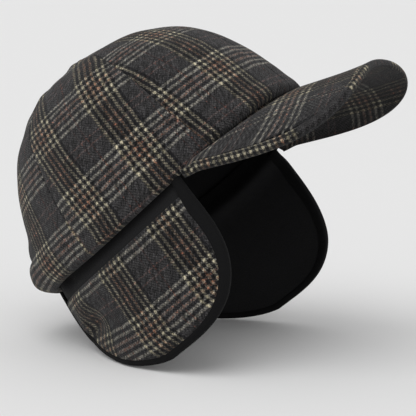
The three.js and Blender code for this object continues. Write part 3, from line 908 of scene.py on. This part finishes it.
def flap(side):
    label = "right" if side < 0 else "left"
    # Black cloth
    arc, depth, outer, inner = flap_sheet(FLAP["root"], 1, 0.0, -FLAP["panel"], 0)
    cloth = np.stack([arc, depth], -1) / PLAIN_PITCH
    piece = shell(f"flap_cloth_{label}", outer, inner, cloth, [BLACK_CLOTH] * 2, side, True)
    finish_piece(piece, f"flap_panel_{label}")
    # Tweed patch
    turn = back_turn_at(FLAP["patch_top"] + PATCH_TOP["clear"], BINDING["back"] + SEAM_GAP)
    gap = FLAP["patch_gap"]
    arc, depth, outer, inner = flap_sheet(FLAP["patch_top"], turn, gap + FLAP["patch"], gap,
                                          PATCH_TOP["sunk"])
    drift = flap_drift(arc, depth)
    lines_x = (arc + drift[0] - FLAP_CLOTH["along"]) / FLAP_CLOTH["along_pitch"]
    lines_y = (FLAP_CLOTH["down"] - depth - drift[1]) / FLAP_CLOTH["down_pitch"] + len(GROUP) - 1
    if side < 0:
        lines_x = len(GROUP) - 1 - lines_x
    piece = shell(f"flap_tweed_{label}", outer, inner, np.stack([lines_x, lines_y], -1),
                  [TWEED_FLAP_PAINTED_SHADE, TWEED], side, True)
    finish_piece(piece, f"flap_patch_{label}")
    # Binding: a strip folded over the edge, from the tweed round to the back
    widths, at = flap_outline(16, 70, back_turn_at(BINDING["end"], 0), 90)

    def line(share, inset, raised):
        arc, depth = at(widths * share + inset)
        depth = np.maximum(depth, np.where(arc < 0, BINDING["start"], BINDING["end"]))
        return flap_point(arc, depth, raised)

    outer, inner = [], []
    for share, inset, raised in BINDING_FRONT + binding_fold() + BINDING_BACK:
        outer.append(line(share, inset, raised))
        from_middle = raised - BINDING_FOLD["middle"]
        thinner = BINDING_SKIN["raised"] if share > 0 or abs(from_middle) > 1 else 0
        inner.append(line(share, inset + BINDING_SKIN["sides" if share else "edge"],
                          raised - thinner * np.sign(from_middle)))
    outer, inner = np.stack(outer), np.stack(inner)
    run, wrap = lengths(outer[0]), lengths(outer)[:, WRAP_AT]
    cloth = np.stack(np.meshgrid(run, wrap), -1) / PLAIN_PITCH
    piece = shell(f"flap_edge_{label}", outer, inner, cloth, [BLACK_BINDING] * 2, side)
    finish_piece(piece, f"flap_binding_{label}")


def binding_fold():
    """The round part of the binding's section"""
    rows = []
    for turn in np.linspace(BINDING_FOLD["turn"], -BINDING_FOLD["turn"], BINDING_FOLD["steps"]):
        t, most = math.radians(turn), math.radians(BINDING_FOLD["turn"])
        rows.append((0.0, BINDING_FOLD["reach"] * (1 - math.cos(t)), BINDING_FOLD["middle"]
                     + BINDING_FOLD["half"] * math.sin(t) / math.sin(most)))
    return rows


def flap_drift(arc, depth):
    """How far the patch's lines stray forward, and how far they rise, in mm"""
    d = FLAP_DRIFT
    foot = d["foot"] * (np.clip(depth - d["foot_from"], 0, 16) / d["foot_over"]) ** 1.5
    gathered = d["gathered"] * bell(depth, d["depth"], d["spread"]) \
        * smooth(*d["from"], arc) * (1 - smooth(*d["to"], arc))
    rise = d["rise"] * smooth(*d["rise_along"], arc) * smooth(*d["rise_down"], depth)
    return foot + gathered, rise


for flap_side in (-1, 1):
    flap(flap_side)


# ---- Stage ----
FLOOR_SIZE = 30
FLOOR_GAP = 0.0006      # below the flaps, in metres
low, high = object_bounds()
bpy.ops.mesh.primitive_circle_add(vertices=96, radius=FLOOR_SIZE, fill_type="NGON",
                                  location=(0, 0, low.z - FLOOR_GAP))
floor = bpy.context.object
floor.name = "floor"
paper = Shader("paper")
paper.set(Base_Color=(0.83, 0.83, 0.83, 1), Roughness=0.9, Specular_IOR_Level=0.1)
floor.data.materials.append(paper.material)

scene = bpy.context.scene
scene.world = bpy.data.worlds.new("studio")
scene.world.use_nodes = True
background = scene.world.node_tree.nodes["Background"]
background.inputs["Color"].default_value = (1.0, 1.0, 1.0, 1)
background.inputs["Strength"].default_value = 0.6


def towards(azimuth, elevation):
    """A direction from the origin, by degrees from the front and degrees up"""
    a, e = math.radians(azimuth), math.radians(elevation)
    return Vector((math.sin(a) * math.cos(e), -math.cos(a) * math.cos(e), math.sin(e)))


def sky_panel(name, azimuth, elevation, strength, angle):
    """A wide soft light so far off that it lights the floor evenly"""
    data = bpy.data.lights.new(name, "SUN")
    data.energy = strength
    data.angle = math.radians(angle)
    lamp = bpy.data.objects.new(name, data)
    lamp.rotation_euler = towards(azimuth, elevation).to_track_quat("Z", "Y").to_euler()
    scene.collection.objects.link(lamp)


sky_panel("key", 265, 58, 1.15, 50)
sky_panel("fill", 330, 35, 0.3, 70)


# ---- Camera ----
AZIMUTH, ELEVATION, DISTANCE = 295.58, 8.54, 1.1
AIM = (0.0185, -0.00997)    # right and up of the origin, in metres
LENS = 145.6
back = towards(AZIMUTH, ELEVATION)
right = Vector((0, 0, 1)).cross(back).normalized()
above = back.cross(right)
camera = bpy.data.objects.new("camera", bpy.data.cameras.new("camera"))
camera.data.lens = LENS
camera.data.sensor_width = 36
camera.matrix_world = Matrix((right, above, back)).transposed().to_4x4()
camera.location = right * AIM[0] + above * AIM[1] + back * DISTANCE
scene.collection.objects.link(camera)
scene.camera = camera
scene.view_settings.view_transform = "Standard"
scene.view_settings.look = "None"
